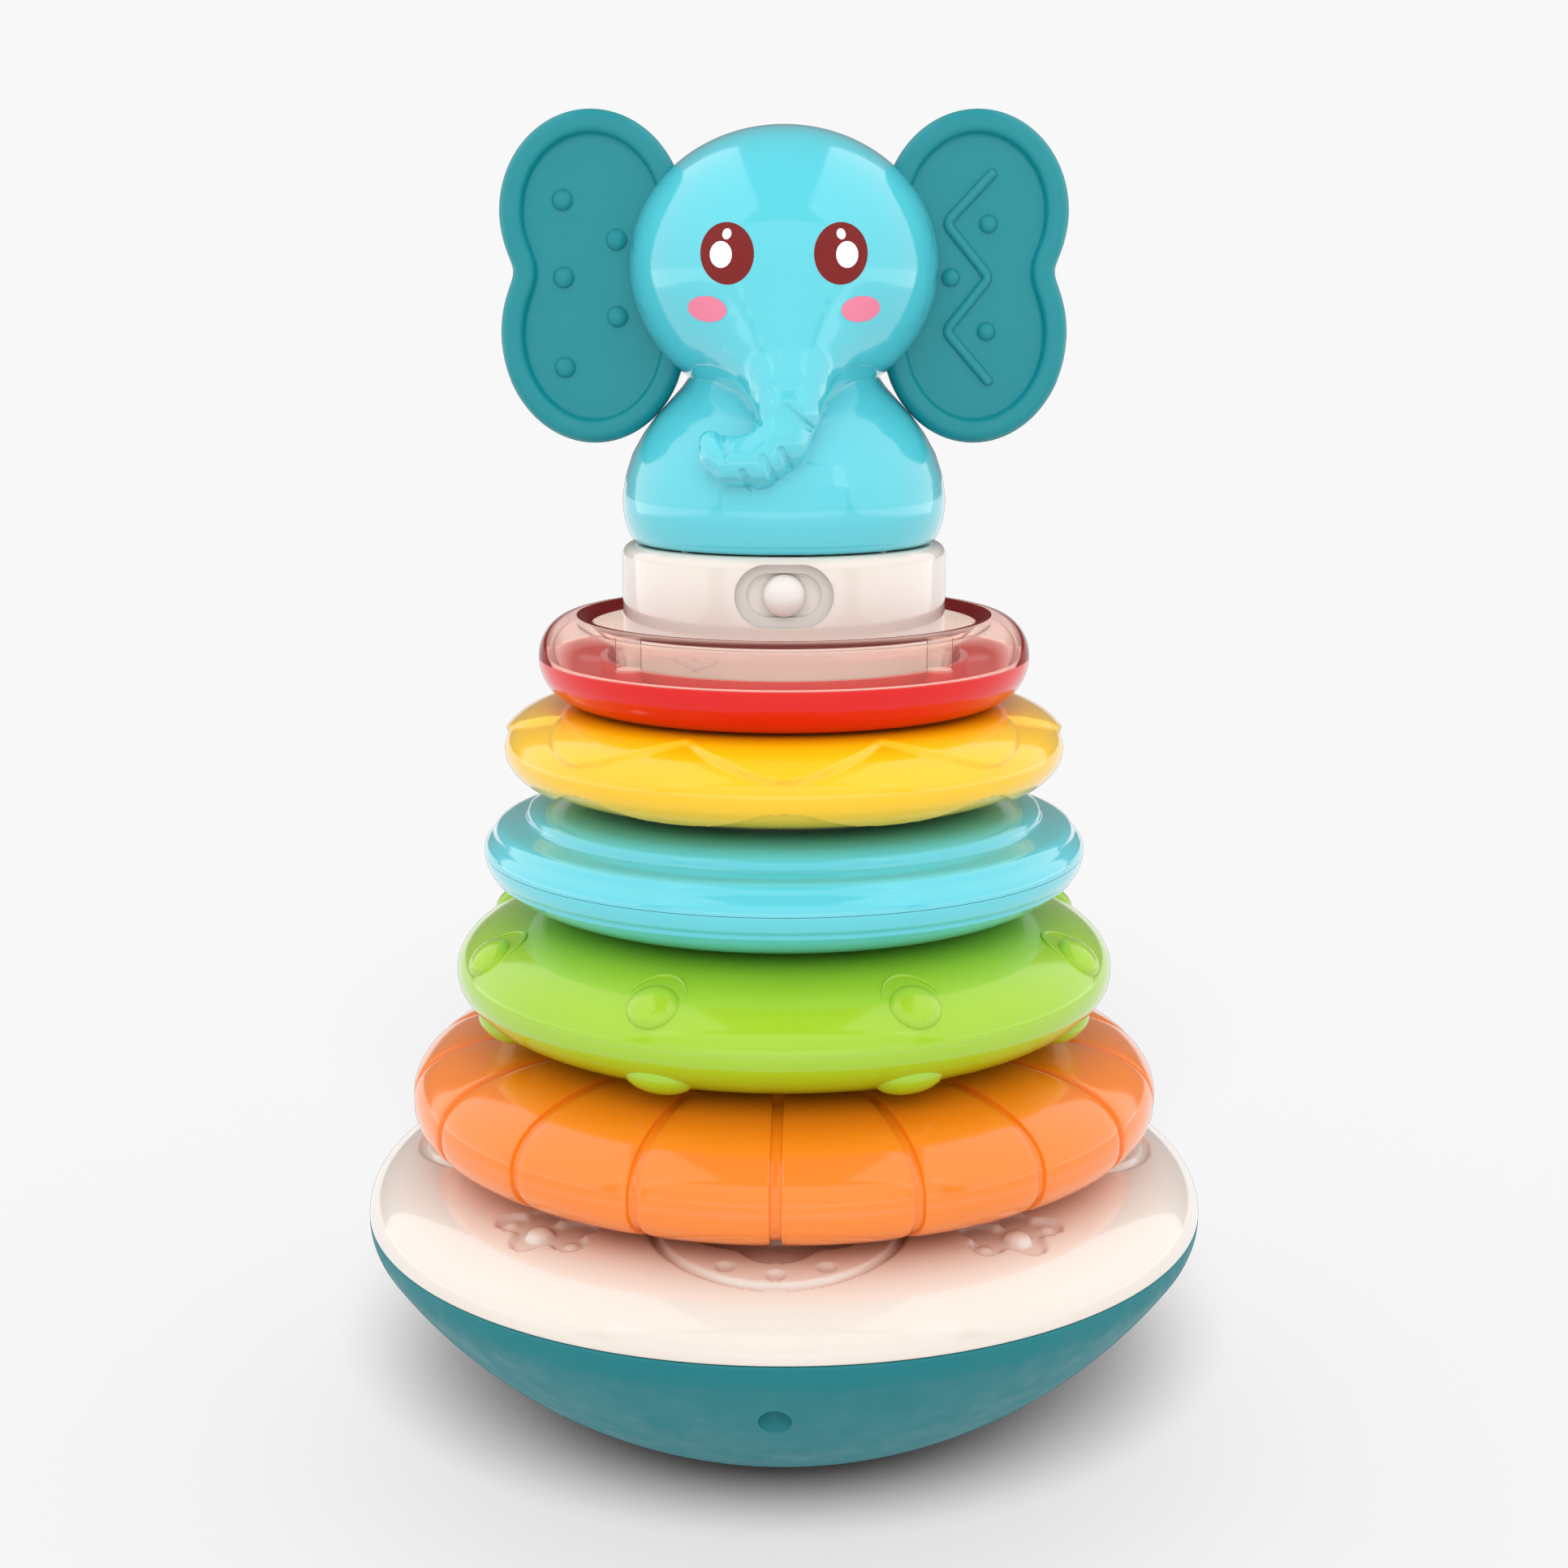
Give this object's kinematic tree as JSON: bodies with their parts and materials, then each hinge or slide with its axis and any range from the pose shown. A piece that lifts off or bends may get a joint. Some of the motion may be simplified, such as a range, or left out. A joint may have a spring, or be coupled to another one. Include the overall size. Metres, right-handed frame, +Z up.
{
  "type": "stacking ring toy",
  "caption": "Roly-poly stacking toy: a weighted rocking base with a tapered post, coloured rings that lift off, and an elephant figure with a slide switch on top.",
  "frame": {"origin": "middle of the small flat foot at the bottom of the rocking base", "axes": "+Z up along the post, -Y towards the front of the elephant, +X to the viewer's right"},
  "size_m": [0.168, 0.168, 0.2636],
  "materials": {
    "teal": "deep teal moulded plastic, high gloss",
    "cream": "warm off-white moulded plastic, high gloss",
    "sky": "light sky-blue moulded plastic, high gloss",
    "blue_ring": "sky-blue slightly translucent moulded plastic, high gloss",
    "orange": "orange moulded plastic, high gloss",
    "green": "apple-green moulded plastic, high gloss",
    "yellow": "warm yellow moulded plastic, high gloss",
    "red": "red slightly translucent moulded plastic, high gloss",
    "clear": "clear moulded plastic with a faint red cast, polished",
    "knob": "light warm-grey moulded plastic, satin gloss",
    "dark": "dark grey moulded plastic, matt",
    "board": "green lacquered circuit board",
    "iron": "rough cast iron",
    "steel": "bright zinc-plated steel"
  },
  "bodies": {
    "base": {"base_bowl": "teal", "base_weight": "iron", "weight_screw_1": "steel", "weight_screw_2": "steel", "weight_screw_3": "steel", "base_cover": "cream", "base_screw_1": "steel", "base_screw_2": "steel", "base_screw_3": "steel", "base_screw_4": "steel", "post": "cream", "post_screw_1": "steel", "post_screw_2": "steel", "post_screw_3": "steel", "post_screw_4": "steel"},
    "orange_ring": {"orange_ring_lower": "orange", "orange_ring_upper": "orange"},
    "green_ring": {"green_ring_lower": "green", "green_ring_upper": "green"},
    "blue_ring": {"blue_ring_lower": "blue_ring", "blue_ring_upper": "blue_ring"},
    "yellow_ring": {"yellow_ring_lower": "yellow", "yellow_ring_upper": "yellow"},
    "red_ring": {"red_ring_lower": "red", "red_ring_upper": "clear"},
    "elephant": {"collar": "cream", "collar_floor": "cream", "floor_screw_1": "steel", "floor_screw_2": "steel", "floor_screw_3": "steel", "battery_door": "cream", "door_screw": "steel", "battery_1": "steel", "battery_2": "steel", "battery_3": "steel", "circuit_board": "board", "slide_switch": "dark", "speaker": "dark", "elephant_front": "sky", "elephant_rear": "sky", "left_ear": "teal", "right_ear": "teal", "shell_screw_1": "steel", "shell_screw_2": "steel", "shell_screw_3": "steel", "neck_screw_1": "steel", "neck_screw_2": "steel", "neck_screw_3": "steel", "neck_screw_4": "steel"},
    "switch": {"switch_knob": "knob"}
  },
  "joints": [
    {"name": "orange_lift", "type": "slide", "parent": "base", "child": "orange_ring", "axis": [0, 0, 1], "range_m": [0, 0.108]},
    {"name": "green_lift", "type": "slide", "parent": "orange_ring", "child": "green_ring", "axis": [0, 0, 1], "range_m": [0, 0.083]},
    {"name": "blue_lift", "type": "slide", "parent": "green_ring", "child": "blue_ring", "axis": [0, 0, 1], "range_m": [0, 0.058]},
    {"name": "yellow_lift", "type": "slide", "parent": "blue_ring", "child": "yellow_ring", "axis": [0, 0, 1], "range_m": [0, 0.036]},
    {"name": "red_lift", "type": "slide", "parent": "yellow_ring", "child": "red_ring", "axis": [0, 0, 1], "range_m": [0, 0.018]},
    {"name": "elephant_lift", "type": "slide", "parent": "red_ring", "child": "elephant", "axis": [0, 0, 1], "range_m": [0, 0.019]},
    {"name": "switch_slide", "type": "slide", "parent": "elephant", "child": "switch", "axis": [1, 0, 0], "range_m": [-0.0031, 0.0031]}
  ]
}
